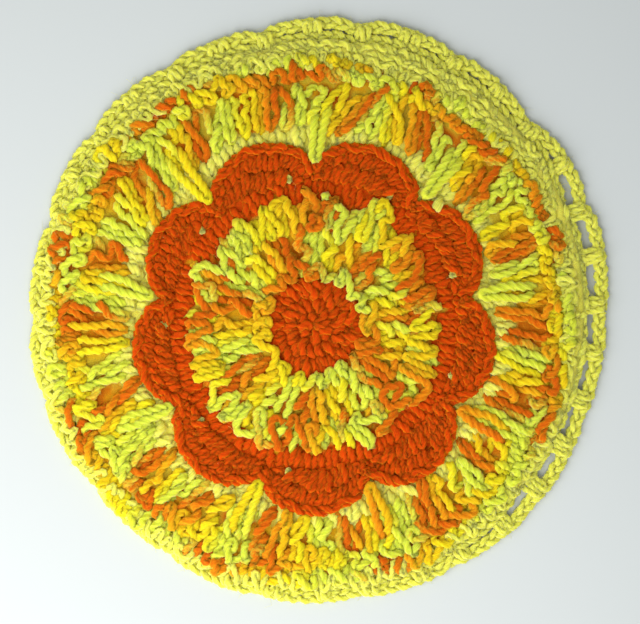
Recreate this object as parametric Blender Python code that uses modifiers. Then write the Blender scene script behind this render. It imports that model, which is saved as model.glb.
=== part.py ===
"""Round crocheted pot holder, 200 mm across: an orange disc, a variegated ring, a flower of nine orange
petals lying on a yellow ground, a second variegated ring, a yellow border and an edging of chain arches.

Metres, +Z up. The origin is the middle of the outline, on the surface that the pot holder lies on.
Each yarn's rounds are one solid. The drift of a round is how far its own centre lies from the origin,
because the rounds were worked a little off centre.
"""

from math import cos, exp, pi, radians, sin, tau

import bmesh
import bpy

MM = 0.001

# Where one yarn's rounds end and the next begin, from the middle outwards.
#                  radius      drift_x     drift_y
DISC_EDGE = (17.2 * MM, -1.1 * MM, -5.9 * MM)
INNER_RING_EDGE = (44.0 * MM, -1.8 * MM, -5.4 * MM)
GROUND_EDGE = (67.0 * MM, -1.4 * MM, -5.3 * MM)
OUTER_RING_EDGE = (89.4 * MM, -1.8 * MM, -2.0 * MM)
BORDER_EDGE = (95.8 * MM, 0.5 * MM, 0.1 * MM)
OUTLINE = (100.0 * MM, 0.5 * MM, 0.1 * MM)

GAP = 0.3 * MM  # between one solid and the next
SOFTENING = 0.9 * MM  # how far a ring's rims are rounded over

# The outline swells and shrinks a little as it goes round.
OUTLINE_SWELLS = (
    # lobes, swing, angle of a crest
    (2, 0.56 * MM, radians(78)),
    (3, 0.50 * MM, radians(54)),
    (6, 0.60 * MM, radians(16)),
)
# The last round ends in a step: the edge sinks slowly towards it and comes back at once.
STEP_ANGLE = radians(40)
STEP_DEPTH = 3.4 * MM
STEP_SLOPE = radians(7)
STEP_RETURN = radians(3)

PETALS = 9
PETAL_VALLEY_RADIUS = 55.3 * MM
PETAL_CREST_RADIUS = 65.6 * MM
PETAL_VALLEY_ANGLE = radians(90)
PETAL_FULLNESS = 0.7  # below 1 the petals are broad, with narrow valleys between them

ARCHES = 36
ARCH_SLOT_ANGLE = radians(6)  # middle of one slot; the others follow round the edge
ARCH_SLOT_LENGTH = 7.6 * MM
ARCH_SLOT_INSET = 2.0 * MM  # from the outline to the middle of a slot
ARCH_SLOT_WIDTH = 1.7 * MM
ARCH_SLOT_SPREAD = 0.6 * MM  # on the stretched side the slots are this much wider, and opposite narrower
ARCH_STRETCHED_SIDE = radians(5)
ARCH_SLOT_CORNERS = 6
CUT_PAST = 1 * MM  # a cutter runs this far past both faces

# Sections across the solids: share of the way from the inner edge to the outer one, and height.
# The softened rims and the walls are added to them.
DISC_TOP = ((0.0, 5.0 * MM), (0.45, 5.3 * MM), (0.88, 4.9 * MM))
INNER_RING_TOP = ((0.05, 4.8 * MM), (0.3, 6.2 * MM), (0.55, 5.5 * MM), (0.8, 6.1 * MM), (0.96, 5.2 * MM))
GROUND_TOP = ((0.05, 3.0 * MM), (0.95, 3.0 * MM))
PETAL_TOP = ((0.05, 5.7 * MM), (0.4, 6.8 * MM), (0.8, 6.6 * MM), (0.96, 5.7 * MM))
OUTER_RING_TOP = ((0.05, 5.2 * MM), (0.25, 6.4 * MM), (0.65, 6.0 * MM), (0.95, 4.8 * MM))
BORDER_TOP = ((0.2, 4.4 * MM), (0.8, 4.2 * MM))
EDGING_TOP = ((0.25, 3.4 * MM), (0.75, 3.4 * MM))

# How many sections a ring is lofted through.
ROUND_STEPS = 60
OUTLINE_STEPS = 72
STEPS_PER_PETAL = 10

ORANGE = (0.56, 0.05, 0.004)
VARIEGATED = (0.72, 0.42, 0.03)
YELLOW = (0.78, 0.72, 0.07)
COTTON_ROUGHNESS = 0.9

SHARP_FROM = radians(50)  # edges that bend more than this are shaded sharp
DISC_STEPS = 48


def clear_scene():
    for obj in list(bpy.data.objects):
        bpy.data.objects.remove(obj)


def cotton(name, colour):
    """A matt cotton yarn of one colour."""
    material = bpy.data.materials.new(name)
    material.use_nodes = True
    shader = material.node_tree.nodes["Principled BSDF"]
    shader.inputs["Base Color"].default_value = (*colour, 1)
    shader.inputs["Roughness"].default_value = COTTON_ROUGHNESS
    shader.inputs["Metallic"].default_value = 0
    return material


def angle_past(angle, start):
    """How far angle lies beyond start, from minus half a turn to half a turn."""
    return (angle - start + pi) % tau - pi


def point_at(edge, radius, angle):
    """The point this far out at this angle, seen from the centre of the round that the edge belongs to."""
    _, drift_x, drift_y = edge
    return drift_x + radius * cos(angle), drift_y + radius * sin(angle)


def round_edge(edge, extra=0.0):
    """A round's circular edge, as a function from an angle to a point."""
    return lambda angle: point_at(edge, edge[0] + extra, angle)


def step_at(angle):
    """How far the end of the last round draws the outline in here."""
    past = angle_past(angle, STEP_ANGLE)
    if past >= 0:
        return STEP_DEPTH * exp(-past / STEP_SLOPE)
    return STEP_DEPTH * max(0.0, 1 + past / STEP_RETURN)


def unevenness(angle):
    """How far the outline lies outside its mean circle here."""
    swell = sum(swing * cos(lobes * (angle - crest)) for lobes, swing, crest in OUTLINE_SWELLS)
    return swell - step_at(angle)


def uneven_edge(edge, extra=0.0):
    """The outline, or an edge that runs inside and along it, as a function from an angle to a point."""
    return lambda angle: point_at(edge, edge[0] + unevenness(angle) + extra, angle)


def flower_edge(angle):
    """The scalloped edge of the flower."""
    bulge = abs(sin(PETALS / 2 * (angle - PETAL_VALLEY_ANGLE))) ** PETAL_FULLNESS
    radius = PETAL_VALLEY_RADIUS + (PETAL_CREST_RADIUS - PETAL_VALLEY_RADIUS) * bulge
    return point_at(GROUND_EDGE, radius, angle)


def angles(count, start=0.0):
    return [start + tau * step / count for step in range(count)]


def smooth_object(name, mesh, material):
    mesh.materials.append(material)
    mesh.shade_smooth()
    mesh.set_sharp_from_angle(angle=SHARP_FROM)
    return bpy.data.objects.new(name, mesh)


def ring_section(top, foot):
    """A closed section as (share, inset, height): the softened foot, the walls and the top."""
    first_height, last_height = top[0][1], top[-1][1]
    inner_wall = [(0, SOFTENING, foot), (0, 0, foot + SOFTENING), (0, 0, first_height - SOFTENING)]
    outer_wall = [(1, 0, last_height - SOFTENING), (1, 0, foot + SOFTENING), (1, -SOFTENING, foot)]
    return inner_wall + [(share, 0, height) for share, height in top] + outer_wall


def ring(name, inner, outer, top, around, material, foot=0.0):
    """A ring lofted between two edges, through a section at each of the angles around."""
    section = ring_section(top, foot)
    bm = bmesh.new()
    loops = []
    for angle in around:
        inner_x, inner_y = inner(angle)
        outer_x, outer_y = outer(angle)
        loop = []
        for share, inset, height in section:
            x = inner_x + share * (outer_x - inner_x) + inset * cos(angle)
            y = inner_y + share * (outer_y - inner_y) + inset * sin(angle)
            loop.append(bm.verts.new((x, y, height)))
        loops.append(loop)
    for loop, following in zip(loops, loops[1:] + loops[:1]):
        for here in range(len(section)):
            after = (here + 1) % len(section)
            bm.faces.new((loop[here], following[here], following[after], loop[after]))
    bmesh.ops.recalc_face_normals(bm, faces=bm.faces)
    mesh = bpy.data.meshes.new(name)
    bm.to_mesh(mesh)
    bm.free()
    return smooth_object(name, mesh, material)


def disc(name, material):
    """The centre: a low round cushion of two rounds, flat underneath."""
    radius, drift_x, drift_y = DISC_EDGE
    radius -= GAP
    shoulder = DISC_TOP[-1][1] - SOFTENING
    profile = [(share * radius, height) for share, height in DISC_TOP]
    profile += [(radius, shoulder), (radius, SOFTENING), (radius - SOFTENING, 0), (0, 0)]
    bm = bmesh.new()
    points = [bm.verts.new((x, 0, z)) for x, z in profile]
    for start, end in zip(points, points[1:]):
        bm.edges.new((start, end))
    mesh = bpy.data.meshes.new(name)
    bm.to_mesh(mesh)
    bm.free()
    made = smooth_object(name, mesh, material)
    made.location = (drift_x, drift_y, 0)
    turn = made.modifiers.new("Turn", "SCREW")
    turn.steps = turn.render_steps = DISC_STEPS
    turn.use_merge_vertices = True
    turn.merge_threshold = 0.01 * MM
    return made


def slot_cutter():
    """One mesh that holds the long slots under all the arches."""
    bm = bmesh.new()
    for angle in angles(ARCHES, ARCH_SLOT_ANGLE):
        width = ARCH_SLOT_WIDTH + ARCH_SLOT_SPREAD * cos(angle - ARCH_STRETCHED_SIDE)
        middle = OUTLINE[0] + unevenness(angle) - ARCH_SLOT_INSET
        ends = []
        for height in (-CUT_PAST, EDGING_TOP[0][1] + CUT_PAST):
            rim = []
            for corner in angles(ARCH_SLOT_CORNERS):
                turned = angle + ARCH_SLOT_LENGTH / 2 * cos(corner) / middle
                reach = middle + width / 2 * sin(corner) / sin(tau / ARCH_SLOT_CORNERS)
                rim.append(bm.verts.new((*point_at(OUTLINE, reach, turned), height)))
            ends.append(rim)
        low, high = ends
        bm.faces.new(low)
        bm.faces.new(high)
        for here in range(ARCH_SLOT_CORNERS):
            after = (here + 1) % ARCH_SLOT_CORNERS
            bm.faces.new((low[here], low[after], high[after], high[here]))
    bmesh.ops.recalc_face_normals(bm, faces=bm.faces)
    mesh = bpy.data.meshes.new("arch_slots")
    bm.to_mesh(mesh)
    bm.free()
    cutter = bpy.data.objects.new("arch_slots", mesh)
    cutter.hide_render = True
    cutter.display_type = "WIRE"
    return cutter


def build():
    clear_scene()
    parts = bpy.data.collections.new("pot_holder")
    cutters = bpy.data.collections.new("cutters")
    bpy.context.scene.collection.children.link(parts)
    bpy.context.scene.collection.children.link(cutters)
    orange = cotton("orange_cotton", ORANGE)
    variegated = cotton("variegated_cotton", VARIEGATED)
    yellow = cotton("yellow_cotton", YELLOW)

    steps = angles(ROUND_STEPS)
    flower_steps = angles(PETALS * STEPS_PER_PETAL, PETAL_VALLEY_ANGLE)
    outline_steps = angles(OUTLINE_STEPS)
    flower_foot = GROUND_TOP[0][1] + GAP

    in_inner, out_inner = round_edge(DISC_EDGE), round_edge(INNER_RING_EDGE)
    in_ground, out_ground = round_edge(INNER_RING_EDGE, GAP), round_edge(GROUND_EDGE)
    in_outer, out_outer = round_edge(GROUND_EDGE, GAP), round_edge(OUTER_RING_EDGE)
    in_border, out_border = round_edge(OUTER_RING_EDGE, GAP), uneven_edge(BORDER_EDGE)
    in_edging, out_edging = uneven_edge(BORDER_EDGE, GAP), uneven_edge(OUTLINE)

    parts.objects.link(disc("centre_disc", orange))
    rings = (
        ring("inner_ring", in_inner, out_inner, INNER_RING_TOP, steps, variegated),
        ring("ground_ring", in_ground, out_ground, GROUND_TOP, steps, yellow),
        ring("petal_ring", in_ground, flower_edge, PETAL_TOP, flower_steps, orange, flower_foot),
        ring("outer_ring", in_outer, out_outer, OUTER_RING_TOP, outline_steps, variegated),
        ring("border_ring", in_border, out_border, BORDER_TOP, outline_steps, yellow),
        ring("arch_edging", in_edging, out_edging, EDGING_TOP, outline_steps, yellow),
    )
    for made in rings:
        parts.objects.link(made)
    slots = rings[-1].modifiers.new("Slots", "BOOLEAN")
    slots.operation = "DIFFERENCE"
    slots.object = slot_cutter()
    cutters.objects.link(slots.object)


build()
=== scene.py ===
import math

import bpy
import numpy as np
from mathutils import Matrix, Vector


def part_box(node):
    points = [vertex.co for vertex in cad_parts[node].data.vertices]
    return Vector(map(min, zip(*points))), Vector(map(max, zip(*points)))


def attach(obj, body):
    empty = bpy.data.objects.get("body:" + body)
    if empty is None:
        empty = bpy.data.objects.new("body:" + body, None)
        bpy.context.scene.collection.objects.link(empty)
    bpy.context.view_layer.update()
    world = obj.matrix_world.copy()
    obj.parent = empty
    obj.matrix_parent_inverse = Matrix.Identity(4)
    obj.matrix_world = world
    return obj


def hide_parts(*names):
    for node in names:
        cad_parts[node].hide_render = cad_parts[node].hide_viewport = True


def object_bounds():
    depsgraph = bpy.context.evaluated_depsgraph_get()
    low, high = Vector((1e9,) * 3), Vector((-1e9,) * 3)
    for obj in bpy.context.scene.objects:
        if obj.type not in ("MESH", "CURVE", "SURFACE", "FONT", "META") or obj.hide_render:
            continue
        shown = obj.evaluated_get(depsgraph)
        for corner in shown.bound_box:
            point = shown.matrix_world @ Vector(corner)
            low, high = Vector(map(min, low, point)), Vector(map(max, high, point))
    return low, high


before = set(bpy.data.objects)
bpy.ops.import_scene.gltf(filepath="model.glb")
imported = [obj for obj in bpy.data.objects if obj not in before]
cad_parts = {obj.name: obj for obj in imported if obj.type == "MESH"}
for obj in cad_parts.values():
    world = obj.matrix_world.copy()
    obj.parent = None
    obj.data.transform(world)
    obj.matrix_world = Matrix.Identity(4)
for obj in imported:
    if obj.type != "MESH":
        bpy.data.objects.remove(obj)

# A round crocheted pot holder. Every strand that shows is worked here as real yarn: a stitch is a short
# chart of points, a round repeats it, all rounds settle against each other, and each path is swept into
# plied yarn.

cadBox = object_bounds()
mm = 0.001
fullTurn = 2 * math.pi
chance = np.random.default_rng(7)

yarn = {
    "plies": 3,
    "plyDepth": 0.24,  # how deep the grooves between the plies are, as a share of the strand
    "plyTurn": 9.5 * mm,  # length in which the plies go once round
    "step": 1.08 * mm,  # length of one piece of the swept tube
    "sidesPerPly": 4,
    "stepUnder": 1.35,  # the strands underneath are swept in longer pieces, with fewer sides
    "sidesPerPlyUnder": 2,
    "wide": 1.14,  # pressed flat: the strand is this much wider than round
    "low": 0.62,  # and this much lower
    "rough": 0.035,  # unevenness of its surface
    "swell": 0.05,  # how much thicker and thinner it gets along its length
    "swellEvery": 9 * mm,
    "drift": 0.015,  # how many metres the dye runs ahead or behind
    "driftEvery": 0.1,
    "fuzzEvery": 4.4 * mm,
    "fuzzLength": 2.6 * mm,
    "fuzzThick": 0.05 * mm,
    # how far the inner and the outer part of a loose fibre stand off and wander, as shares of its length
    "fuzzOff": (0.35, 0.10),
    "fuzzWander": (0.28, 0.40),
}
strands = []  # every strand of the pot holder, gathered first and swept last


# Where the rounds lie is read off the solids.
def centreOf(node):
    low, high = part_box(node)
    return np.array([(low[0] + high[0]) / 2, (low[1] + high[1]) / 2])


def edgeOf(node, centre):
    # the outer edge of a ring's solid round a centre, as a function of the angle
    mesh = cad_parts[node].data
    points = np.empty(len(mesh.vertices) * 3)
    mesh.vertices.foreach_get("co", points)
    flat = points.reshape(-1, 3)[:, :2] - centre
    angle = np.arctan2(flat[:, 1], flat[:, 0]) % fullTurn
    bins = 90
    found = np.zeros(bins)
    place = np.floor(angle / fullTurn * bins).astype(int) % bins
    np.maximum.at(found, place, np.hypot(*flat.T))
    where = (np.arange(bins) + 0.5) / bins * fullTurn
    usable = found > 0
    return lambda at: np.interp(at, where[usable], found[usable], period=fullTurn)


def polar(centre, reach, angle):
    return np.stack([centre[0] + reach * np.cos(angle), centre[1] + reach * np.sin(angle)], axis=-1)


def lengthAlong(route):
    # how far along the route each of its points is
    return np.concatenate([[0], np.cumsum(np.linalg.norm(np.diff(route, axis=0), axis=1))])


def pointsAt(along, lengths, route):
    return np.stack([np.interp(along, lengths, column) for column in route.T], axis=-1)


discCentre = centreOf("centre_disc")
innerCentre = centreOf("inner_ring")
flowerCentre = centreOf("ground_ring")
outerCentre = centreOf("outer_ring")
outlineCentre = centreOf("arch_edging")
discReach = edgeOf("centre_disc", discCentre)(0.0)
innerReach = edgeOf("inner_ring", innerCentre)(0.0)
outerReach = edgeOf("outer_ring", outerCentre)(0.0)
petalSolidEdge = edgeOf("petal_ring", flowerCentre)
outlineEdge = edgeOf("arch_edging", outlineCentre)


def drawnIn(at):
    # the flower is pulled in a little, more at its sides than above and below
    return 0.972 - 0.02 * np.cos(2 * at)


def flowerEdge(at):
    return petalSolidEdge(at) * drawnIn(at)


print("rounds end at", [round(reach / mm, 1) for reach in (discReach, innerReach, outerReach)], "mm")

# Each stitch is charted as (across, up, proud): across its own width, up from foot to head,
# and how many strand radii it stands proud of the cloth.
tallStitch = (
    (0.06, 0.98, -1.0), (0.30, 0.84, 0.8), (0.18, 0.66, 0.0),
    (0.30, 0.48, 1.0), (0.18, 0.32, 0.0), (0.30, 0.14, 0.9),
    (0.34, -0.02, -0.4), (0.50, -0.07, -1.2), (0.66, 0.04, 0.2),
    (0.80, 0.20, 1.1), (0.68, 0.38, 0.1), (0.80, 0.56, 1.1),
    (0.68, 0.72, 0.1), (0.80, 0.88, 0.8), (0.92, 1.04, -1.0),
)
postStitch = (
    # its two legs lie close together, so that it stands as a column of its own
    (0.03, 0.97, -1.5), (0.27, 0.86, 0.9), (0.22, 0.66, 0.2),
    (0.33, 0.48, 1.1), (0.25, 0.30, 0.2), (0.35, 0.12, 1.0),
    (0.42, -0.03, -0.2), (0.56, -0.04, -0.8), (0.64, 0.10, 0.6),
    (0.72, 0.26, 1.2), (0.62, 0.44, 0.3), (0.72, 0.60, 1.2),
    (0.64, 0.78, 0.4), (0.74, 0.92, 0.9), (0.97, 1.03, -1.5),
)
wrappedStitch = (
    (0.04, 1.00, -0.3), (0.26, 0.88, 0.4), (0.34, 0.60, -0.2),
    (0.20, 0.30, 0.6), (0.24, 0.02, 0.3), (0.46, -0.06, -0.8),
    (0.72, 0.05, 0.6), (0.66, 0.22, 1.4), (0.24, 0.44, 1.5),
    (0.14, 0.53, 0.4), (0.46, 0.55, -0.5), (0.80, 0.58, 0.5),
    (0.70, 0.76, 1.4), (0.60, 0.96, 0.8), (0.88, 1.04, -0.5),
)
twistedStitch = (
    (0.05, 1.00, -0.3), (0.30, 0.84, 0.9), (0.52, 0.62, -0.2),
    (0.76, 0.40, 0.9), (0.74, 0.14, 0.2), (0.50, -0.06, -0.8),
    (0.26, 0.06, 0.5), (0.16, 0.26, 1.1), (0.36, 0.44, 0.1),
    (0.52, 0.64, 1.5), (0.76, 0.84, 0.9), (0.90, 1.04, -0.6),
)
veeStitch = (
    (0.03, 0.96, -1.1), (0.14, 0.76, 0.4), (0.28, 0.44, 1.1),
    (0.42, 0.10, 0.4), (0.50, -0.06, -1.1), (0.58, 0.10, 0.5),
    (0.72, 0.46, 1.2), (0.86, 0.78, 0.5), (0.96, 0.96, -1.1),
)
backStitch = (
    (0.02, 0.85, 0.0), (0.26, 0.40, 0.0), (0.50, -0.02, 0.0),
    (0.74, 0.40, 0.0), (0.98, 0.85, 0.0),
)


# How far the single points of a stitch, and then the whole stitch, stray from the chart.
stray = {"across": (0.06, 0.05), "up": (0.025, 0.03), "proud": (0.15, 0.2)}
# How far the boundaries between the stitches of a round stray, in stitches or in metres.
roundStray = {"foot": 0.11, "head": 0.10, "footReach": 0.4 * mm, "headReach": 0.5 * mm, "swayReach": 14 * mm}


def strayed(values, way, loose):
    point, whole = stray[way]
    return values + loose * (chance.normal(0, point, len(values)) + chance.normal(0, whole))


def workStitches(feet, heads, charts, heights, radius, loose=1.0, relief=0.55):
    # one stitch, of a kind picked by chance, in each gap between the boundaries whose ends are feet and heads
    rows = []
    for i in range(len(feet) - 1):
        chart = np.array(charts[chance.integers(len(charts))])
        across = strayed(chart[:, 0], "across", loose)
        up = strayed(chart[:, 1], "up", loose)
        proud = strayed(chart[:, 2], "proud", loose)
        low = feet[i] * (1 - across)[:, None] + feet[i + 1] * across[:, None]
        high = heads[i] * (1 - across)[:, None] + heads[i + 1] * across[:, None]
        flat = low * (1 - up)[:, None] + high * up[:, None]
        height = heights[0] + (heights[1] - heights[0]) * np.clip(up, 0, 1) + proud * radius * relief
        rows.append(np.column_stack([flat, height]))
    return np.concatenate(rows)


def smoothChance(count):
    # random values that change slowly from one stitch to the next, and meet at the ends
    marks = np.arange(0, count + 4, 4)
    values = chance.normal(0, 1, len(marks))
    values[-1] = values[0]
    return np.interp(np.linspace(0, marks[-1], count), marks, values)


def workRound(
    centre, count, reaches, heights, charts, radius, start=0.0, lean=0.0, loose=1.0, relief=0.55, sway=0.0,
):
    # reaches are the radius, or its function of the angle, of the stitches' feet and of their heads
    at = start + fullTurn * np.arange(count + 1) / count
    at[1:-1] += chance.normal(0, roundStray["foot"] * loose, count - 1) * fullTurn / count
    leans = at + lean + chance.normal(0, roundStray["head"] * loose, count + 1) * fullTurn / count
    leans += sway * smoothChance(count + 1)
    low, high = (reach(at) if callable(reach) else np.full(count + 1, reach) for reach in reaches)
    low = low + chance.normal(0, roundStray["footReach"] * loose, count + 1)
    high = high + chance.normal(0, roundStray["headReach"] * loose, count + 1)
    high = high + roundStray["swayReach"] * sway * smoothChance(count + 1)
    low[-1], high[-1], leans[-1] = low[0], high[0], leans[0] + fullTurn
    feet, heads = polar(centre, low, at), polar(centre, high, leans)
    return workStitches(feet, heads, charts, heights, radius, loose, relief)


# The braid that a row of chain makes: points to each crossing, rise and stray as shares of radius or width.
plait = {"points": 8, "rise": 0.35, "strayAcross": 0.05, "strayUp": 0.12}


def workPlait(piece, route, width, pitch, level, radius, loose=1.0):
    # three strands that cross in turn along a route
    lengths = lengthAlong(route)
    count = max(2, round(lengths[-1] / pitch)) * plait["points"]
    share = np.arange(count + 1) / count
    flat = pointsAt(share * lengths[-1], lengths, route)
    way = np.gradient(flat, axis=0)
    way /= np.linalg.norm(way, axis=-1, keepdims=True)
    side = np.stack([-way[:, 1], way[:, 0]], axis=-1)
    for k in range(3):
        turn = fullTurn * (share * count / plait["points"] + k / 3)
        across = 0.5 * (width - 2 * radius) * np.sin(turn)
        across = across + loose * chance.normal(0, plait["strayAcross"] * width, count + 1)
        rise = plait["rise"] * np.sin(2 * turn) + loose * chance.normal(0, plait["strayUp"], count + 1)
        addStrand(piece, np.column_stack([flat + side * across[:, None], level + radius * rise]), radius)


def smoothPath(points, step):
    # a smooth curve through the points, evenly spaced and a little relaxed
    padded = np.concatenate([[2 * points[0] - points[1]], points, [2 * points[-1] - points[-2]]])
    before, here, after, beyond = (padded[k:len(padded) - 3 + k][:, None] for k in range(4))
    share = (np.arange(8) / 8)[None, :, None]
    curve = 0.5 * (
        2 * here
        + (after - before) * share
        + (2 * before - 5 * here + 4 * after - beyond) * share**2
        + (3 * here - before - 3 * after + beyond) * share**3
    )
    curve = np.concatenate([curve.reshape(-1, 3), points[-1:]])
    lengths = lengthAlong(curve)
    path = pointsAt(np.linspace(0, lengths[-1], max(4, int(lengths[-1] / step))), lengths, curve)
    path[1:-1] = 0.25 * path[:-2] + 0.5 * path[1:-1] + 0.25 * path[2:]
    return path


def addStrand(piece, points, radius, dyeStart=0.0, under=False, pinned=False):
    step = yarn["step"] * (yarn["stepUnder"] if under else 1.0)
    strands.append({
        "piece": piece,
        "path": smoothPath(points, step),
        "radius": radius,
        "dyeStart": dyeStart,  # metres into the dye's repeat
        "under": under,
        "pinned": pinned,
    })


def addRound(piece, strand, centre, count, reaches, heights, charts, dyeStart=0.0, **play):
    addStrand(piece, workRound(centre, count, reaches, heights, charts, strand, **play), strand, dyeStart)


def aside(centre, angle, rows):
    # points from rows of (reach, aside, height) about the line that leaves the centre at this angle
    reach, side, height = np.array(rows).T
    flat = polar(centre, reach, angle) + np.outer(side, (-math.sin(angle), math.cos(angle)))
    return np.column_stack([flat, height])


# The rounds, from the middle outwards.
levels = {
    "back": 1.25 * mm,  # middle of the strands that show underneath
    "sheet": 2.9 * mm,  # middle of the ground cloth
    "ground": 3.5 * mm,
    "face": 4.2 * mm,
    "petal": 4.7 * mm,
    "rows": 2.9 * mm,  # the border's plain rows
    "edge": 1.3 * mm,
}

centreDisc = {
    # foot, head and stitches of each round
    "rounds": ((1.0 * mm, 6.6 * mm, 8), (5.8 * mm, 12.0 * mm, 16), (11.0 * mm, 17.0 * mm, 25)),
    "strand": 1.15 * mm,
}
for low, high, count in centreDisc["rounds"]:
    addRound(
        "centreDiscYarn", centreDisc["strand"], discCentre, count, (low, high),
        (levels["face"] - 0.2 * mm,) * 2, (tallStitch, twistedStitch, veeStitch),
        start=0.7, lean=0.15, loose=1.5,
    )

innerRing = {
    "posts": 33,
    "postFoot": 20.0 * mm,
    "postHead": 34.5 * mm,
    "postCentre": discCentre * 0.7 + innerCentre * 0.3,
    "zigzags": 19,
    "tops": 42,
    "topFoot": 33.0 * mm,
    "hooks": 36,
    "hookFoot": 34.5 * mm,
    "strand": 1.2 * mm,
}
radius = innerRing["strand"]
addRound(
    "innerRingYarn", radius, innerRing["postCentre"], innerRing["posts"],
    (innerRing["postFoot"], innerRing["postHead"]), (levels["face"], levels["face"] + 0.3 * mm),
    (postStitch, wrappedStitch, twistedStitch), 0.05, start=0.1, loose=1.7, relief=0.8, sway=0.08,
)
addRound(
    "innerRingYarn", radius, discCentre, innerRing["zigzags"], (discReach - 0.6 * mm, discReach + 4.4 * mm),
    (levels["face"] + 1.1 * mm,) * 2, (veeStitch, veeStitch, twistedStitch), 0.12, start=0.2, loose=2.4,
)
addRound(
    "innerRingYarn", radius, innerCentre, innerRing["tops"], (innerRing["topFoot"], innerReach - 1.6 * mm),
    (levels["face"] + 0.3 * mm,) * 2, (veeStitch, twistedStitch), 0.02, start=0.3, loose=1.8, sway=0.06,
)
addRound(
    "innerRingYarn", radius, innerCentre, innerRing["hooks"], (innerRing["hookFoot"], innerReach + 0.8 * mm),
    (levels["face"] + 1.2 * mm,) * 2, (veeStitch, veeStitch, twistedStitch), 0.16,
    start=0.1, loose=2.4, sway=0.06,
)

groundRing = {"counts": (64, 72), "reaches": (54.5 * mm, 62.0 * mm, 69.5 * mm), "strand": 1.35 * mm}
for k, count in enumerate(groundRing["counts"]):
    addRound(
        "groundRingYarn", groundRing["strand"], flowerCentre, count, groundRing["reaches"][k:k + 2],
        (levels["ground"],) * 2, (veeStitch,), start=0.2 * k,
    )

flower = {
    "petals": 9,
    "valley": math.radians(90),
    "stitches": 12,
    "footReach": 50.0 * mm,
    "footFrom": math.radians(-12),  # from the petal's middle line
    "footTo": math.radians(21),
    "windowFrom": math.radians(10),  # from each valley to the gap in which the yellow round shows
    "baseStitches": 60,
    "baseStrand": 1.1 * mm,
    "rimWidth": 3.2 * mm,
    "rimPitch": 9.5 * mm,
    "strand": 0.95 * mm,
    "windowStrand": 0.85 * mm,
    # reach and aside, in mm, of the loop of ground yarn that fills the gap
    "windowLoop": ((50.0, -0.8), (50.8, 0.7), (52.2, 0.7), (52.0, -0.7), (50.6, -0.7), (50.2, 0.7)),
}


def petalRim(index, inset, span=0.97):
    half = math.pi / flower["petals"]
    middle = flower["valley"] + (2 * index + 1) * half
    at = np.linspace(middle - half * span, middle + half * span, 60)
    return polar(flowerCentre, flowerEdge(at) - inset, at)


def spread(route, count):
    # count evenly spaced points along a route
    lengths = lengthAlong(route)
    return pointsAt(np.linspace(0, lengths[-1], count), lengths, route)


radius = flower["strand"]
for index in range(flower["petals"]):
    middle = flower["valley"] + (2 * index + 1) * math.pi / flower["petals"]
    feetAt = np.linspace(middle + flower["footFrom"], middle + flower["footTo"], flower["stitches"] + 1)
    feet = polar(flowerCentre, flower["footReach"] + chance.normal(0, 0.5 * mm, len(feetAt)), feetAt)
    heads = spread(petalRim(index, 2.6 * radius), flower["stitches"] + 1)
    between = 0.46 * feet + 0.54 * heads + chance.normal(0, 0.5 * mm, heads.shape)
    for low, high in ((feet, between), (between, heads)):
        addStrand("petalYarn", workStitches(
            low, high, (postStitch, veeStitch, tallStitch),
            (levels["petal"] - 0.5 * mm, levels["petal"] + 0.1 * mm), radius, 1.5, 0.45,
        ), radius)
    windowAt = flower["valley"] + 2 * index * math.pi / flower["petals"] + flower["windowFrom"]
    loop = np.array([(reach, side, 0) for reach, side in flower["windowLoop"]]) * mm
    loop += (chance.normal(0, 0.4 * mm), 0, levels["petal"] + 0.1 * mm)
    addStrand("groundRingYarn", aside(flowerCentre, windowAt, loop), flower["windowStrand"], pinned=True)
    workPlait(
        "petalYarn", petalRim(index, flower["rimWidth"] / 2, 1.0), flower["rimWidth"], flower["rimPitch"],
        levels["petal"] + 0.1 * mm, radius, 1.5,
    )
addRound(
    "petalYarn", flower["baseStrand"], flowerCentre, flower["baseStitches"],
    (innerReach - 1.0 * mm, flower["footReach"] + 0.4 * mm), (levels["petal"] - 0.7 * mm,) * 2,
    (veeStitch, postStitch), loose=1.2,
)

outerRing = {
    "stitches": 86,
    "foot": 67.6 * mm,
    "head": 82.0 * mm,
    "centre": flowerCentre * 0.6 + outerCentre * 0.4,
    "strand": 1.12 * mm,
    "spikeStrand": 1.3 * mm,
    "ripple": 98,
    "rippleCentre": outerCentre * 2,  # further off the middle than the posts
    "rippleReach": outerReach + 1.6 * mm,
    "spikeTip": 56.5 * mm,
    "spikeTop": 73.0 * mm,
    # where in the dye each spike's yarn starts, as a share, from the top valley onwards, anticlockwise
    "spikeDye": (0.50, 0.38, 0.66, 0.66, 0.40, 0.05, 0.05, 0.50, 0.66),
}
radius = outerRing["strand"]


def postFoot(at):
    return outerRing["foot"] * drawnIn(at)


def rippleEdge(at, centre):
    # how far the ripple round reaches, measured from this centre
    return np.linalg.norm(polar(outerRing["rippleCentre"], outerRing["rippleReach"], at) - centre, axis=-1)


def rippleRow(share, inset):
    # a row's reach: a share of the way from the posts' heads to the ripple's edge
    def reach(at):
        return outerRing["head"] - inset + share * (rippleEdge(at, outerCentre) - outerRing["head"])
    return reach


addRound(
    "outerRingYarn", radius, outerRing["centre"], outerRing["stitches"], (postFoot, outerRing["head"]),
    (levels["face"], levels["face"] + 0.2 * mm), (postStitch, postStitch, wrappedStitch, twistedStitch),
    lean=math.radians(0.8), loose=1.8, relief=0.95, sway=0.065,
)
for k, (low, high) in enumerate(((0.0, 0.55), (0.5, 1.0))):
    addRound(
        "rippleRoundYarn", radius, outerCentre, outerRing["ripple"],
        (rippleRow(low, 1.0 * mm), rippleRow(high, 0.5 * mm)), (levels["face"] + (0.5 - 0.7 * k) * mm,) * 2,
        (tallStitch, twistedStitch), 0.06 + 0.1 * k, start=0.05 + 0.03 * k, loose=1.9, sway=0.03,
    )


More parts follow.
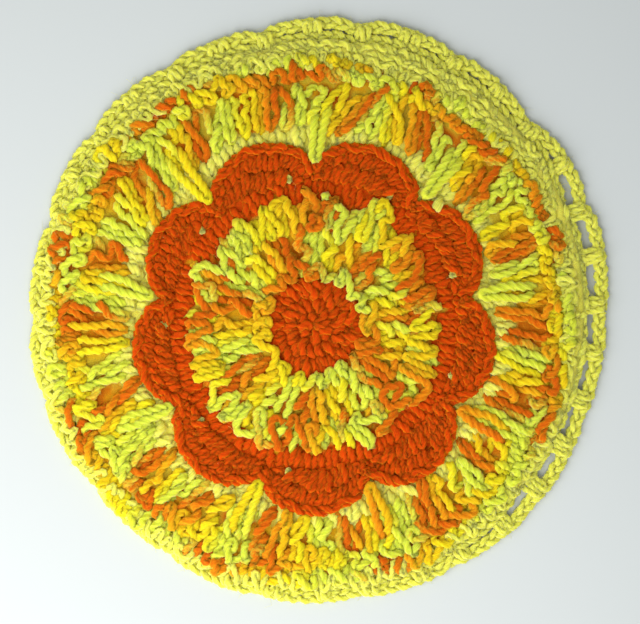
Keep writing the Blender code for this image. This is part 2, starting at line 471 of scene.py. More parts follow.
def spikePoints(index):
    # a long loop that reaches down into a valley: two strands that meet at the tip
    angle = flower["valley"] + fullTurn * index / flower["petals"] + chance.normal(0, 0.01)
    tip, top = outerRing["spikeTip"] + chance.normal(0, 1.0 * mm), outerRing["spikeTop"]
    lean = chance.normal(0, 1.6 * mm)
    half = 2.0 * mm + chance.normal(0, 0.4 * mm)
    rise = levels["face"]
    return aside(flowerCentre, angle, (
        # reach, aside, height
        (top + 4 * mm, lean - half, rise - 0.6 * mm),
        (top, lean - half, rise + 1.6 * mm),
        (top - 0.45 * (top - tip), 0.5 * lean - 0.75 * half, rise + 2.4 * mm),
        (tip + 1.8 * mm, -0.40 * half, rise + 2.2 * mm),
        (tip, 0.0, rise + 1.2 * mm),
        (tip + 1.6 * mm, 0.50 * half, rise + 2.2 * mm),
        (top - 0.45 * (top - tip), 0.5 * lean + 0.8 * half, rise + 2.5 * mm),
        (top, lean + half, rise + 1.6 * mm),
        (top + 4 * mm, lean + half, rise - 0.6 * mm),
    ))


dye = {
    "repeat": 0.205,  # metres of yarn from one orange to the next
    "speckle": 0.10,  # how far single fibres run ahead or behind, as a share of the repeat
    "run": (
        # where along the repeat, and the colour there
        (0.00, (0.70, 0.16, 0.003)),
        (0.07, (0.62, 0.10, 0.002)),
        (0.16, (0.70, 0.16, 0.003)),
        (0.24, (0.80, 0.27, 0.006)),
        (0.32, (0.88, 0.46, 0.008)),
        (0.44, (0.92, 0.60, 0.009)),
        (0.56, (0.90, 0.71, 0.012)),
        (0.65, (0.69, 0.76, 0.050)),
        (0.91, (0.65, 0.77, 0.062)),
        (1.00, (0.70, 0.16, 0.003)),
    ),
}
for index, share in enumerate(outerRing["spikeDye"]):
    addStrand("spikeYarn", spikePoints(index), outerRing["spikeStrand"], share * dye["repeat"] + 2 * mm)

border = {
    "stitches": 130,
    "strand": 0.85 * mm,
    "rowWidth": 3.2 * mm,
    "rowEvery": 2.5 * mm,
    "pitch": 6.2 * mm,
    "rows": 3,
    "rowRise": 0.3 * mm,
    "widestAt": math.radians(42),
}
edging = {
    "arches": 36,
    "first": math.radians(1),
    "strand": 0.9 * mm,
    "width": 4.0 * mm,
    "pitch": 13 * mm,
    "innerWidth": 3.2 * mm,
    "jointWidth": 2.6 * mm,
    # how wide the slits under the arches are stretched, in mm, by the angle in degrees
    "slits": (
        (-60, 0.3), (-42, 3.2), (-12, 2.6), (8, 3.8), (28, 3.2), (36, 0.8), (60, 1.2), (100, 1.2), (115, 0.2),
    ),
}
radius = edging["strand"]
outlineReach = outlineEdge(0.0)


def slitWidth(at):
    where, wide = np.array(edging["slits"]).T
    return np.interp(at, np.radians(where), wide, period=fullTurn) * mm


def borderFoot(at):
    return rippleEdge(at, outlineCentre) - 3.6 * mm


def borderHead(at):
    return rippleEdge(at, outlineCentre) + 1.6 * mm


at = np.linspace(0, fullTurn, 721)
rim = polar(outlineCentre, outlineEdge(at) - edging["width"] / 2, at)
workPlait("archEdgingYarn", rim, edging["width"], edging["pitch"], levels["edge"], radius)
reach = outlineEdge(at) - edging["width"] - edging["innerWidth"] / 2 - slitWidth(at)
workPlait(
    "archEdgingYarn", polar(outlineCentre, reach, at), edging["innerWidth"], edging["pitch"],
    levels["edge"] + 0.5 * mm, radius, loose=0.6,
)
radius = border["strand"]
addRound(
    "borderYarn", radius, outlineCentre, border["stitches"], (borderFoot, borderHead),
    (levels["face"] + 0.2 * mm, levels["rows"] + 0.5 * mm), (veeStitch, veeStitch, twistedStitch),
    loose=1.4, relief=0.1,
)
at = border["widestAt"] + np.linspace(-math.pi, math.pi, 721)
innermost = outlineEdge(at) - edging["width"] - edging["innerWidth"] - slitWidth(at) - border["rowWidth"] / 2
for k in range(border["rows"]):
    reach = innermost - k * border["rowEvery"] + 0.4 * mm
    shown = reach > rippleEdge(at, outlineCentre) - 0.6 * border["rowWidth"]
    if shown.sum() > 20:
        workPlait(
            "borderYarn", polar(outlineCentre, reach, at)[shown], border["rowWidth"], border["pitch"],
            levels["rows"] + border["rowRise"] * k, radius, loose=1.8,
        )

# between the arches, two strands side by side tie the two plaits together
radius = edging["strand"]
for k in range(2 * edging["arches"]):
    beside = (k % 2 - 0.5) * edging["jointWidth"] / outlineReach
    angle = edging["first"] + fullTurn * (k // 2) / edging["arches"] + beside + chance.normal(0, 0.006)
    far = outlineEdge(angle) - 1.4 * mm
    near = far - edging["width"] - 1.0 * mm - slitWidth(angle)
    addStrand("archEdgingYarn", aside(outlineCentre, angle, (
        # reach, aside, height
        (near, -1.0 * mm, 1.2 * mm),
        (0.6 * near + 0.4 * far, -1.0 * mm, 2.2 * mm),
        (far - 0.4 * mm, -0.6 * mm, 2.6 * mm),
        (far, 0.7 * mm, 1.8 * mm),
        (0.5 * near + 0.5 * far, 1.0 * mm, 2.2 * mm),
        (near, 0.9 * mm, 1.2 * mm),
    )), radius)

underside = {
    "rowHeight": 5.6 * mm,
    "stitchWidth": 5.0 * mm,
    "strand": 1.2 * mm,
    "clear": 3.0 * mm,  # from the last row to the slits
    # outer limit, in mm, of each colour's rows, from the middle outwards
    "colours": (
        (18, "orangeBackYarn"), (44, "variegatedBackYarn"), (55, "orangeBackYarn"),
        (67, "yellowBackYarn"), (87, "variegatedBackYarn"), (94, "yellowBackYarn"),
    ),
}


def rowEnd(foot):
    # a row is as tall as the others, unless the slits are in its way
    def head(at):
        clearOfSlits = outlineEdge(at) - edging["width"] - slitWidth(at) - underside["clear"]
        return np.minimum(foot + underside["rowHeight"], clearOfSlits)
    return head


reach = 1.0 * mm
for limit, piece in underside["colours"]:
    while reach < limit * mm - 0.4 * underside["rowHeight"]:
        centre = outlineCentre * (reach / (100 * mm)) + discCentre * (1 - reach / (100 * mm))
        count = max(6, round(fullTurn * (reach + 0.5 * underside["rowHeight"]) / underside["stitchWidth"]))
        addStrand(piece, workRound(
            centre, count, (reach, rowEnd(reach)), (levels["back"],) * 2, (backStitch,),
            underside["strand"], start=chance.uniform(0, fullTurn), loose=0.8,
        ), underside["strand"], chance.uniform(0, 0.2), under=True)
        reach += underside["rowHeight"]
print("strands", len(strands), "points", sum(len(strand["path"]) for strand in strands))

# The yarn settles: strands push each other apart where they meet, stay smooth, and rest on the ground cloth.
settle = {
    "turns": 15,
    "pairsEvery": 3,  # turns from one search for meeting pairs to the next
    "pairReach": 2.1,  # how near such a pair is, as a share of the thickest radius
    "neighbours": 5,  # points of one strand nearer than this many along it aren't a pair
    "press": 0.86,  # strands may come this near, as a share of their two radii
    "stride": 1.3,  # how much of the way apart each turn takes them
    "crowding": 0.7,  # and how much less where many meet
    "smooth": 0.25,
    "hold": 0.05,  # how far each turn brings them back to where they were planned
    "sheetReach": 91.5 * mm,
    "ceiling": 6.1 * mm,
}


def closePairs(points, reach):
    # the pairs of points nearer than about reach, found through a grid of cells
    cell = np.floor(points / reach).astype(np.int64)
    cell -= cell.min(axis=0) - 1
    columns, layers = 4096, 64  # more cells than there are across and upwards
    key = (cell[:, 0] * columns + cell[:, 1]) * layers + cell[:, 2]
    order = np.argsort(key, kind="stable")
    ordered = key[order]
    ones, twos = [], []
    steps = (-1, 0, 1)
    for x, y, z in [(x, y, z) for x in steps for y in steps for z in steps if (x, y, z) >= (0, 0, 0)]:
        other = key + (x * columns + y) * layers + z
        low = np.searchsorted(ordered, other, "left")
        count = np.searchsorted(ordered, other, "right") - low
        one = np.repeat(np.arange(len(points)), count)
        inRun = np.arange(count.sum()) - np.repeat(np.cumsum(count) - count, count)
        two = order[np.repeat(low, count) + inRun]
        if (x, y, z) == (0, 0, 0):
            one, two = one[one < two], two[one < two]
        ones.append(one)
        twos.append(two)
    return np.concatenate(ones), np.concatenate(twos)


def underPetals(places, margin=1.5 * mm):
    # whether each place lies inside the flower's edge, and this far from it
    out = places[:, :2] - flowerCentre
    return np.hypot(*out.T) < flowerEdge(np.arctan2(out[:, 1], out[:, 0])) - margin


def settleYarn():
    counts = [len(strand["path"]) for strand in strands]
    points = np.concatenate([strand["path"] for strand in strands])
    radius, under, pinned = (
        np.repeat([strand[key] for strand in strands], counts) for key in ("radius", "under", "pinned")
    )
    owner = np.repeat(np.arange(len(strands)), counts)
    planned = points.copy()
    inner = np.flatnonzero((owner[1:-1] == owner[:-2]) & (owner[1:-1] == owner[2:])) + 1
    for turn in range(settle["turns"]):
        if turn % settle["pairsEvery"] == 0:
            one, two = closePairs(points, settle["pairReach"] * radius.max())
            far = (owner[one] != owner[two]) | (np.abs(one - two) > settle["neighbours"])
            one, two = one[far], two[far]
        apart = points[two] - points[one]
        gap = np.linalg.norm(apart, axis=1) + 1e-9
        push = np.clip(settle["press"] * (radius[one] + radius[two]) - gap, 0, None)
        touching = push > 0
        first, second = one[touching], two[touching]
        move = apart[touching] * (0.5 * push[touching] / gap[touching])[:, None]
        shift = np.stack([
            np.bincount(second, move[:, k], len(points)) - np.bincount(first, move[:, k], len(points))
            for k in range(3)
        ], axis=-1)
        crowd = np.bincount(first, minlength=len(points)) + np.bincount(second, minlength=len(points))
        crowding = np.maximum(1, crowd)[:, None] ** settle["crowding"]
        moved = points + settle["stride"] * shift / crowding - planned
        moved[inner] += settle["smooth"] * (moved[inner - 1] + moved[inner + 1] - 2 * moved[inner])
        moved[pinned] = 0
        points = planned + (1 - settle["hold"]) * moved
        onSheet = np.linalg.norm(points[:, :2] - outlineCentre, axis=1) < settle["sheetReach"]
        lowest = np.where(onSheet & ~under, levels["sheet"] + 1.0 * mm - 0.7 * radius, radius)
        highest = np.where(under, levels["back"] + 0.25 * mm, settle["ceiling"])
        points[:, 2] = np.clip(points[:, 2], lowest, highest)
    for strand, path in zip(strands, np.split(points, np.cumsum(counts)[:-1])):
        strand["path"] = path
        if strand["piece"] == "groundRingYarn" and not strand["pinned"]:
            path[underPetals(path), 2] = levels["sheet"] - 0.3 * mm
    print("settled, meeting pairs", int(touching.sum()), "deepest", round(push.max() / mm, 2), "mm")


settleYarn()


def sweepFrames(path):
    # two directions across the strand at each point, carried along without twisting
    tangent = np.gradient(path, axis=0)
    tangent /= np.linalg.norm(tangent, axis=1, keepdims=True) + 1e-12
    across = np.empty_like(path)
    current = np.cross(tangent[0], (0.0, 0.0, 1.0))
    if np.linalg.norm(current) < 0.1:
        current = np.array([1.0, 0.0, 0.0])
    for i in range(len(path)):
        current = current - tangent[i] * current.dot(tangent[i])
        current = current / math.sqrt(current.dot(current))
        across[i] = current
    return across, np.cross(tangent, across)


def tubeFaces(rings, sides, first=0):
    # the four-sided faces between the rings of points of a tube
    ring = first + np.arange(rings - 1)[:, None] * sides
    here, after = ring + np.arange(sides), ring + (np.arange(sides) + 1) % sides
    return np.stack([here, after, after + sides, here + sides], axis=-1).reshape(-1, 4)


def newMesh(name, points, corners, starts, attributes):
    mesh = bpy.data.meshes.new(name)
    mesh.vertices.add(len(points))
    mesh.vertices.foreach_set("co", points.ravel())
    mesh.loops.add(len(corners))
    mesh.loops.foreach_set("vertex_index", corners.astype(np.int32))
    mesh.polygons.add(len(starts))
    mesh.polygons.foreach_set("loop_start", starts.astype(np.int32))
    mesh.update(calc_edges=True)
    mesh.shade_smooth()
    kinds = {1: ("FLOAT", "value"), 3: ("FLOAT_VECTOR", "vector"), 4: ("FLOAT_COLOR", "color")}
    for title, values in attributes.items():
        kind, field = kinds[values.size // len(points)]
        mesh.attributes.new(title, kind, "POINT").data.foreach_set(field, values.ravel().astype(np.float32))
    return mesh


def placePiece(name, mesh, material, replaced=()):
    piece = bpy.data.objects.new(name, mesh)
    bpy.context.scene.collection.objects.link(piece)
    mesh.materials.append(material)
    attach(piece, "root")
    if replaced:
        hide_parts(*replaced)
    return piece


def makeYarn(name, material, slotName, replaced=()):
    # each strand of the piece becomes one closed, plied tube of its mesh, with a fuzz of loose fibres
    own = [strand for strand in strands if strand["piece"] == name]
    sides = yarn["plies"] * yarn["sidesPerPlyUnder" if own[0]["under"] else "sidesPerPly"]
    around = fullTurn * np.arange(sides) / sides
    lobes = 1 + yarn["plyDepth"] * np.cos(yarn["plies"] * around)
    height = (lobes - lobes.min()) / (lobes.max() - lobes.min())
    cos, sin = np.cos(around), np.sin(around)
    points, faces, alongs, fibres, plies, outs, runs = [], [], [], [], [], [], []
    first = 0
    for strand in own:
        path, radius = strand["path"], strand["radius"]
        count = len(path)
        lengths = lengthAlong(path)
        one, two = sweepFrames(path)
        swell = 1 + yarn["swell"] * np.sin(lengths / yarn["swellEvery"] + first)
        reach = radius * swell[:, None] * lobes * (1 + chance.normal(0, yarn["rough"], (count, sides)))
        angle = around + (fullTurn * lengths / yarn["plyTurn"])[:, None]
        out = np.cos(angle)[..., None] * one[:, None] + np.sin(angle)[..., None] * two[:, None]
        ring = path[:, None] + reach[..., None] * out * (yarn["wide"], yarn["wide"], yarn["low"])
        points.append(ring.reshape(-1, 3))
        outs.append(out.reshape(-1, 3))
        marks = np.arange(0, lengths[-1] + yarn["driftEvery"], yarn["driftEvery"])
        drift = np.interp(lengths, marks, chance.normal(0, yarn["drift"], len(marks)))
        alongs.append(np.repeat(lengths + drift + strand["dyeStart"], sides))
        onward = np.repeat(lengths + 0.3 * len(runs), sides)
        fibres.append(np.stack([np.tile(cos * radius, count), np.tile(sin * radius, count), onward], axis=-1))
        plies.append(np.tile(height, count))
        faces.append(tubeFaces(count, sides, first))
        runs.append((first, count))
        first += count * sides
    points, faces, outs = np.concatenate(points), np.concatenate(faces), np.concatenate(outs)
    alongs, fibres, plies = np.concatenate(alongs), np.concatenate(fibres), np.concatenate(plies)
    caps = []
    for start, count in runs:
        caps.append(start + np.arange(sides)[::-1])
        caps.append(start + (count - 1) * sides + np.arange(sides))
    caps = np.concatenate(caps)

    total = sum(count for _, count in runs) * yarn["step"] * (yarn["stepUnder"] if own[0]["under"] else 1.0)
    root = chance.integers(len(points), size=0 if own[0]["under"] else int(total / yarn["fuzzEvery"]))
    fuzz, fuzzFaces, fuzzEnds = growFuzz(points[root], outs[root])
    grownFrom = np.repeat(root, fuzz.shape[1] * fuzz.shape[2])
    fuzzFaces, fuzzEnds = fuzzFaces + len(points), fuzzEnds + len(points)
    quads = np.concatenate([faces, fuzzFaces.reshape(-1, 4)])
    corners = np.concatenate([quads.ravel(), caps, fuzzEnds.ravel()])
    starts = np.concatenate([
        np.arange(len(quads)) * 4,
        len(quads) * 4 + np.arange(len(caps) // sides) * sides,
        len(quads) * 4 + len(caps) + np.arange(fuzzEnds.size // 3) * 3,
    ])
    mesh = newMesh(name, np.concatenate([points, fuzz.reshape(-1, 3)]), corners, starts, {
        "along": np.concatenate([alongs, alongs[grownFrom]]),
        "fibre": np.concatenate([fibres, fibres[grownFrom]]),
        "ply": np.concatenate([plies, np.ones(len(grownFrom))]),
    })
    layStrips(mesh, len(faces) // sides, sides, len(caps) // sides, len(fuzzFaces))
    triangles = 2 * len(quads) + len(caps) // sides * (sides - 2) + fuzzEnds.size // 3
    print(name, triangles, "triangles", round(total, 2), "m of yarn", len(root), "loose fibres")
    return placePiece(name, mesh, material, replaced)


def growFuzz(roots, outs):
    # thin curved fibres that stand off the strands: three points along each, three sides round
    count = len(roots)
    wander = chance.normal(0, 1, (count, 2, 3)) * (1, 1, 0.5)
    size = yarn["fuzzLength"] * chance.uniform(0.5, 1.3, (count, 1))
    middle = roots + size * (yarn["fuzzOff"][0] * outs + yarn["fuzzWander"][0] * wander[:, 0])
    end = middle + size * (yarn["fuzzOff"][1] * outs + yarn["fuzzWander"][1] * wander[:, 1])
    spine = np.stack([roots - 0.2 * mm * outs, middle, end], axis=1)
    spine[..., 2] = np.maximum(spine[..., 2], 2 * yarn["fuzzThick"])
    way = np.gradient(spine, axis=1)
    way /= np.linalg.norm(way, axis=-1, keepdims=True) + 1e-9
    one = np.cross(way, np.roll(way, 1, axis=-1) + 0.1)
    one /= np.linalg.norm(one, axis=-1, keepdims=True) + 1e-9
    two = np.cross(way, one)
    angle = fullTurn * np.arange(3) / 3
    thick = yarn["fuzzThick"] * np.array([1.0, 0.9, 0.6])[:, None, None]
    ring = np.cos(angle)[:, None] * one[:, :, None] + np.sin(angle)[:, None] * two[:, :, None]
    points = spine[:, :, None] + thick * ring
    base = (np.arange(count) * 9)[:, None, None]
    ends = np.array([[2, 1, 0], [6, 7, 8]])
    return points, base + tubeFaces(3, 3), base + ends


def layStrips(mesh, segments, sides, caps, fuzz):
    # the yarn's flat map: lengths of it side by side in rows, with cut ends and fuzz in the last rows
    rows = max(1, round(math.sqrt(segments / 8)))
    perRow = math.ceil(segments / rows)
    rows = math.ceil(segments / perRow)
    used = 0.94
    tall = used / (rows + 1)
    segment = np.repeat(np.arange(segments), sides)
    side = np.tile(np.arange(sides), segments)
    row, column = segment // perRow, segment % perRow
    margin = 0.06
    low = (row + margin + (1 - 2 * margin) * side / sides) * tall
    high = (row + margin + (1 - 2 * margin) * (side + 1) / sides) * tall
    left, right = 0.002 + 0.996 * column / perRow, 0.002 + 0.996 * (column + 1) / perRow
    strips = np.stack([left, low, left, high, right, high, right, low], axis=-1).reshape(-1, 2)
    angle = fullTurn * np.arange(sides) / sides
    size = min(0.4 * tall, 0.4 / caps)
    middle = (np.arange(caps) + 0.5) / caps
    ends = np.stack([
        middle[:, None] + size * np.cos(angle), np.full((caps, 1), used - 0.5 * tall) + size * np.sin(angle)
    ], axis=-1).reshape(-1, 2)

    # six sides and two ends of each loose fibre, as small squares and triangles in a fine grid
    across = max(1, math.ceil(math.sqrt(fuzz * 8 / (1 - used))))
    cell = 0.996 / across
    place = np.arange(fuzz * 8)
    corner = np.stack([0.002 + (place % across) * cell, used + 0.002 + (place // across) * cell], axis=-1)
    square = 0.8 * cell * np.array([(0, 0), (0, 1), (1, 1), (1, 0)])
    quads = (corner[:fuzz * 6, None] + square).reshape(-1, 2)
    triangles = (corner[fuzz * 6:, None] + square[:3]).reshape(-1, 2)
    layer = mesh.uv_layers.new(name="OFBake")
    layer.data.foreach_set("uv", np.concatenate([strips, quads, ends, triangles]).ravel())


def newNode(tree, kind, **settings):
    made = tree.nodes.new(kind)
    for key, value in settings.items():
        if key in made.inputs:
            made.inputs[key].default_value = value
        else:
            setattr(made, key, value)
    return made


def meshValue(tree, name, output):
    return newNode(tree, "ShaderNodeAttribute", attribute_name=name).outputs[output]


def maths(tree, operation, *values, kind="ShaderNodeMath"):
    # a maths node, whose inputs are other nodes' outputs or plain values
    node = newNode(tree, kind, operation=operation)
    for socket, value in zip(node.inputs, values):
        if isinstance(value, bpy.types.NodeSocket):
            tree.links.new(value, socket)
        else:
            socket.default_value = value
    return node.outputs[0]


cotton = {
    "surface": {
        "Specular IOR Level": 0.08,
        "Subsurface Weight": 0.8,
        "Subsurface Radius": (1.0, 0.85, 0.6),
        "Subsurface Scale": 3.2 * mm,
        "Sheen Weight": 0.5,
        "Sheen Roughness": 0.6,
    },
    "streak": 1.2,  # how much lighter and darker the streaks of fibre are
    "streakWide": 0.35 * mm,
    "streakLong": 3.2 * mm,
    "groove": 0.15,  # how far the grooves between the plies take the painted crease shade
    "bump": 0.3,
    "bumpHeight": 0.25 * mm,
}


def cottonGroup():
    # streaks of fibre that follow the plies, painted shade in the grooves between them, and the height for
    # the bump
    group = bpy.data.node_groups.new("cottonStrand", "ShaderNodeTree")
    face = group.interface
    for title, kind in (("Colour", "Color"), ("CreaseShade", "Color"), ("Streak", "Float"), ("Groove", "Float")):
        face.new_socket(name=title, in_out="INPUT", socket_type="NodeSocket" + kind)
    for title, kind in (("Colour", "Color"), ("Roughness", "Float"), ("Height", "Float")):
        face.new_socket(name=title, in_out="OUTPUT", socket_type="NodeSocket" + kind)
    given = newNode(group, "NodeGroupInput")
    out = newNode(group, "NodeGroupOutput")
    link = group.links.new

    fibre, ply = meshValue(group, "fibre", "Vector"), meshValue(group, "ply", "Fac")
    scale = (1 / cotton["streakWide"], 1 / cotton["streakWide"], 1 / cotton["streakLong"])
    noise = newNode(group, "ShaderNodeTexNoise", Scale=1.0, Detail=3.0, Roughness=0.6)
    link(maths(group, "MULTIPLY", fibre, scale, kind="ShaderNodeVectorMath"), noise.inputs["Vector"])
    streaks = noise.outputs["Fac"]

    # the streak lightens and darkens the colour evenly about its mean
    swing = maths(group, "SUBTRACT", streaks, 0.5)
    tinted = newNode(group, "ShaderNodeVectorMath", operation="SCALE")
    link(given.outputs["Colour"], tinted.inputs[0])
    link(maths(group, "MULTIPLY_ADD", swing, given.outputs["Streak"], 1.0), tinted.inputs["Scale"])

    # painted shade: the grooves between the plies take the darker crease colour
    hollow = maths(group, "SUBTRACT", 1.0, ply)
    mixed = newNode(group, "ShaderNodeMix", data_type="RGBA")
    link(maths(group, "MULTIPLY", hollow, given.outputs["Groove"]), mixed.inputs["Factor"])
    link(tinted.outputs[0], mixed.inputs["A"])
    link(given.outputs["CreaseShade"], mixed.inputs["B"])
    link(mixed.outputs["Result"], out.inputs["Colour"])

    rough = newNode(group, "ShaderNodeMapRange")
    rough.inputs["To Min"].default_value = 0.85
    rough.inputs["To Max"].default_value = 1.0
    link(streaks, rough.inputs["Value"])
    link(rough.outputs[0], out.inputs["Roughness"])
    link(maths(group, "MULTIPLY_ADD", streaks, 0.6, ply), out.inputs["Height"])
    return group


strandGroup = cottonGroup()


def cottonMaterial(name, colour, creaseShade, sheen, source=None):
    # source "dye" takes the colour from the dye along the yarn, and "tone" from the mesh
    material = bpy.data.materials.new(name)
    material.use_nodes = True
    tree = material.node_tree
    shader = tree.nodes["Principled BSDF"]
    for socket, value in cotton["surface"].items():
        shader.inputs[socket].default_value = value
    shader.inputs["Sheen Tint"].default_value = (*sheen, 1)
    strand = newNode(tree, "ShaderNodeGroup", node_tree=strandGroup)
    strand.inputs["Colour"].default_value = (*colour, 1)
    strand.inputs["CreaseShade"].default_value = (*creaseShade, 1)
    strand.inputs["Streak"].default_value = cotton["streak"]
    strand.inputs["Groove"].default_value = cotton["groove"]
    link = tree.links.new
    if source == "dye":
        along, fibre = meshValue(tree, "along", "Fac"), meshValue(tree, "fibre", "Vector")
        speckle = newNode(tree, "ShaderNodeTexNoise", Scale=1100.0, Detail=2.0)
        link(fibre, speckle.inputs["Vector"])
        ahead = maths(tree, "MULTIPLY", speckle.outputs["Fac"], dye["speckle"])
        place = maths(tree, "MULTIPLY_ADD", along, 1 / dye["repeat"], ahead)
        ramp = newNode(tree, "ShaderNodeValToRGB")
        stops = ramp.color_ramp.elements
        while len(stops) > 1:
            stops.remove(stops[-1])
        stops[0].position, stops[0].color = dye["run"][0][0], (*dye["run"][0][1], 1)
        for where, tone in dye["run"][1:]:
            stops.new(where).color = (*tone, 1)
        link(maths(tree, "FRACT", place), ramp.inputs[0])
        tone = ramp.outputs["Color"]
    elif source == "tone":
        tone = meshValue(tree, "tone", "Color")
    if source:
        link(tone, strand.inputs["Colour"])
        # the painted crease shade is a darker share of the colour taken from the source
        link(maths(tree, "MULTIPLY", tone, creaseShade, kind="ShaderNodeVectorMath"), strand.inputs["CreaseShade"])
    link(strand.outputs["Colour"], shader.inputs["Base Color"])
    link(strand.outputs["Roughness"], shader.inputs["Roughness"])
    bump = newNode(tree, "ShaderNodeBump", Strength=cotton["bump"], Distance=cotton["bumpHeight"])
    link(strand.outputs["Height"], bump.inputs["Height"])
    link(bump.outputs["Normal"], shader.inputs["Normal"])
    return material


tones = {
    "orange": (0.62, 0.061, 0.0008),
    "yellow": (0.93, 0.87, 0.095),
    "ground": (0.88, 0.80, 0.11),
}
# colour, painted crease shade and sheen; where the colour has a source, the crease shade is a share of it
orangeCotton = cottonMaterial("orangeCotton", tones["orange"], (0.59, 0.058, 0.0008), (0.8, 0.2, 0.01))
yellowCotton = cottonMaterial("yellowCotton", tones["yellow"], (0.88, 0.79, 0.08), (0.8, 0.8, 0.2))
groundCotton = cottonMaterial("groundCotton", tones["ground"], (0.78, 0.66, 0.06), (0.8, 0.8, 0.2))
variegatedCotton = cottonMaterial(
    "variegatedCotton", tones["yellow"], (0.86, 0.78, 0.7), (0.8, 0.6, 0.05), source="dye",
)
sheetCotton = cottonMaterial(
    "sheetCotton", tones["ground"], (0.85, 0.8, 0.7), (0.8, 0.6, 0.05), source="tone",
)

made = [makeYarn(*row) for row in (
    ("centreDiscYarn", orangeCotton, "orange_cotton", ("centre_disc",)),
    ("innerRingYarn", variegatedCotton, "variegated_cotton", ("inner_ring",)),
    ("groundRingYarn", groundCotton, "yellow_cotton", ("ground_ring",)),
    ("petalYarn", orangeCotton, "orange_cotton", ("petal_ring",)),
    ("outerRingYarn", variegatedCotton, "variegated_cotton", ("outer_ring",)),
    ("rippleRoundYarn", variegatedCotton, "variegated_cotton"),
    ("spikeYarn", variegatedCotton, "variegated_cotton"),
    ("borderYarn", yellowCotton, "yellow_cotton", ("border_ring",)),
    ("archEdgingYarn", yellowCotton, "yellow_cotton", ("arch_edging",)),
    ("orangeBackYarn", orangeCotton, "orange_cotton"),
    ("variegatedBackYarn", variegatedCotton, "variegated_cotton"),
    ("yellowBackYarn", yellowCotton, "yellow_cotton"),
)]

groundCloth = {
    "rings": 50,
    "spokes": 192,
    "thick": 2.0 * mm,
    "relief": 0.14 * mm,
    "wavesEvery": 5.6 * mm,  # the relief's waves outwards
    "wavesRound": 40,
    "shade": 0.95,  # painted shade: its colour is this share of that of the strand above it
    "gapShade": (0.55, 0.20, 0.006),  # painted shade: what shows between the variegated stitches leans towards this darker orange
    "lean": 0.55,
}


def coloursAbove(places):
    # the colour of the face's strand that is nearest to each place in the plane; under the variegated rounds
    # it leans towards a darker painted gap shade
    face = [strand for strand in strands if not strand["under"] and strand["piece"] != "groundRingYarn"]
    flat = np.concatenate([strand["path"][:, :2] for strand in face])
    stops = [where for where, _ in dye["run"]]
    runColours = np.array([tone for _, tone in dye["run"]])
    shades = []
    for strand in face:
        along = strand["dyeStart"] + yarn["step"] * np.arange(len(strand["path"]))
        if strand["piece"] in ("innerRingYarn", "outerRingYarn", "rippleRoundYarn", "spikeYarn"):
            own = pointsAt((along / dye["repeat"] + 0.5 * dye["speckle"]) % 1, stops, runColours)
            # painted shade: between the variegated stitches the colour leans towards a darker orange
            shades.append(own + groundCloth["lean"] * (groundCloth["gapShade"] - own))
        else:
            name = "orange" if strand["piece"] in ("centreDiscYarn", "petalYarn") else "ground"
            shades.append(np.tile(tones[name], (len(along), 1)))
    nearest = [((flat[:, 0] - x)**2 + (flat[:, 1] - y)**2).argmin() for x, y in places]
    colours = np.concatenate(shades)[nearest]
    inGround = np.linalg.norm(places - flowerCentre, axis=1) < groundRing["reaches"][-1]
    colours[inGround & ~underPetals(places, 0)] = tones["ground"]
    return colours


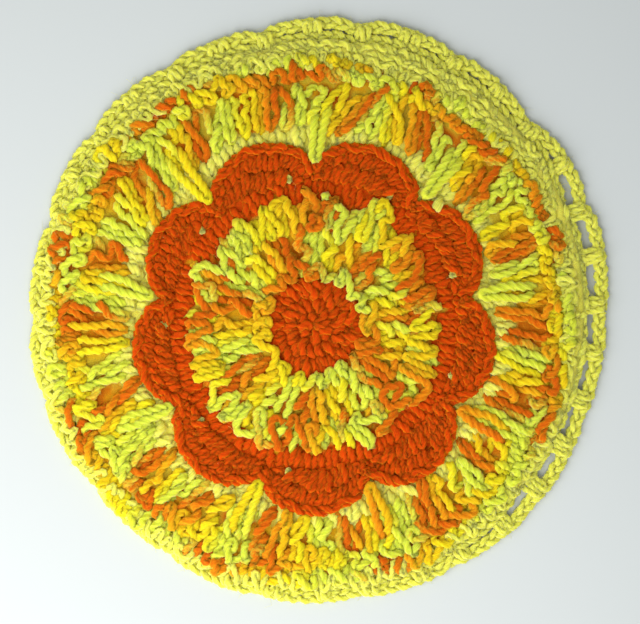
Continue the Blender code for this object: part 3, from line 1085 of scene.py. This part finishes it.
def makeGroundCloth():
    # the body of the stitches, between the strands of the face and of the back: a thin closed sheet, coloured
    # after the strands above it with painted shade in the gaps
    rings, spokes = groundCloth["rings"], groundCloth["spokes"]
    share = (np.arange(rings) + 0.3) / (rings - 0.7)
    angle = fullTurn * np.arange(spokes) / spokes
    reach = share[:, None] * settle["sheetReach"] * (1 - 0.006 * np.cos(3 * angle))
    flat = polar(outlineCentre, reach, angle).reshape(-1, 2)
    outwards = np.cos(reach / groundCloth["wavesEvery"] * fullTurn)
    wave = outwards * np.cos(angle * groundCloth["wavesRound"] * np.round(share[:, None] + 0.6)) * 0.5
    wave = wave.reshape(-1)
    lift = wave * groundCloth["relief"] * 2
    half = 0.5 * groundCloth["thick"]
    top = np.column_stack([flat, levels["sheet"] + half + lift])
    bottom = np.column_stack([flat, levels["sheet"] - half + lift])
    centreTop = (*outlineCentre, levels["sheet"] + half)
    centreBottom = (*outlineCentre, levels["sheet"] - half)
    points = np.concatenate([top, bottom, [centreTop, centreBottom]])
    below = rings * spokes  # from a point of the upper face to the one under it
    upper = tubeFaces(rings, spokes)[:, (0, 3, 2, 1)]
    spoke = np.arange(spokes)
    following = (spoke + 1) % spokes
    wall = np.stack([spoke, spoke + below, following + below, following], axis=-1) + below - spokes
    quads = np.concatenate([upper, upper[:, ::-1] + below, wall])
    fanTop = np.stack([np.full(spokes, len(points) - 2), spoke, following], axis=-1)
    fanBottom = fanTop[:, (0, 2, 1)] + (1, below, below)
    corners = np.concatenate([quads.ravel(), fanTop.ravel(), fanBottom.ravel()])
    starts = np.concatenate([np.arange(len(quads)) * 4, len(quads) * 4 + np.arange(2 * spokes) * 3])
    # painted shade: the sheet is a little darker than the strands above it
    above = coloursAbove(flat) * groundCloth["shade"]
    middle = np.tile(tones["orange"], (2, 1)) * groundCloth["shade"]
    colours = np.column_stack([np.concatenate([above, above, middle]), np.ones(len(points))])
    # its relief waves also take the painted groove shade
    reliefs = np.concatenate([wave, wave, [0, 0]]) + 0.5
    mesh = newMesh("groundCloth", points, corners, starts, {
        "tone": colours, "fibre": points * (1, 1, 4), "ply": reliefs,
    })
    # its flat map: the two faces side by side, and the rim as a strip above them
    layer = mesh.uv_layers.new(name="OFBake")
    places = (points[:, :2] - outlineCentre) * 0.23 / settle["sheetReach"]
    sideways = np.where(np.arange(len(points)) < below, 0.25, 0.75)
    sideways[-2] = 0.25
    cornerPlaces = places[corners] + np.column_stack([sideways[corners], np.full(len(corners), 0.25)])
    wallFrom = 4 * 2 * len(upper)  # the corners of the upper and lower faces come first
    column, corner = np.divmod(np.arange(4 * spokes), 4)
    cornerPlaces[wallFrom:wallFrom + 4 * spokes] = np.column_stack([
        0.02 + 0.96 * (column + (corner >= 2)) / spokes, np.where((corner == 0) | (corner == 3), 0.80, 0.77),
    ])
    layer.data.foreach_set("uv", cornerPlaces.ravel())
    print("groundCloth", 2 * len(quads) + 2 * spokes, "triangles")
    return placePiece("groundCloth", mesh, sheetCotton)


cloth = makeGroundCloth()

studio = {
    "floor": (0.615, 0.655, 0.660),
    "lampPlace": (-0.18, -0.22, 0.30),
    "lampSize": 0.62,
    "lampPower": 2.62,
    "lampColour": (1.0, 0.99, 0.96),
    "room": (0.95, 0.96, 0.97),
    "roomPower": 0.51,
}


def plainFloor():
    bpy.ops.mesh.primitive_plane_add(size=4, location=(0, 0, cadBox[0][2] - 0.2 * mm))
    floor = bpy.context.object
    floor.name = "floor"
    material = bpy.data.materials.new("paleFloor")
    material.use_nodes = True
    shader = material.node_tree.nodes["Principled BSDF"]
    shader.inputs["Base Color"].default_value = (*studio["floor"], 1)
    shader.inputs["Roughness"].default_value = 0.9
    shader.inputs["Specular IOR Level"].default_value = 0.1
    floor.data.materials.append(material)


def windowLight():
    # a large soft lamp that faces the middle of the pot holder
    lamp = bpy.data.lights.new("windowLight", "AREA")
    lamp.shape = "DISK"
    lamp.size = studio["lampSize"]
    lamp.energy = studio["lampPower"]
    lamp.color = studio["lampColour"]
    holder = bpy.data.objects.new("windowLight", lamp)
    holder.location = studio["lampPlace"]
    x, y, z = studio["lampPlace"]
    holder.rotation_euler = (math.atan2(math.hypot(x, y), z), 0, math.atan2(y, x) + math.pi / 2)
    holder.visible_camera = False
    bpy.context.scene.collection.objects.link(holder)


def roomLight():
    world = bpy.data.worlds.new("room")
    world.use_nodes = True
    background = world.node_tree.nodes["Background"]
    background.inputs["Color"].default_value = (*studio["room"], 1)
    background.inputs["Strength"].default_value = studio["roomPower"]
    bpy.context.scene.world = world


plainFloor()
windowLight()
roomLight()
bpy.context.scene.view_settings.view_transform = "Standard"

# what the camera takes in across, how high it stands, and the point under it
view = {"wide": 219.1 * mm, "height": 0.75, "aim": (0.52 * mm, -0.69 * mm)}
lens = bpy.data.cameras.new("overhead")
lens.sensor_width = 36
lens.lens = lens.sensor_width * view["height"] / view["wide"]
camera = bpy.data.objects.new("overhead", lens)
camera.location = (*view["aim"], view["height"] + 5 * mm)
bpy.context.scene.collection.objects.link(camera)
bpy.context.scene.camera = camera
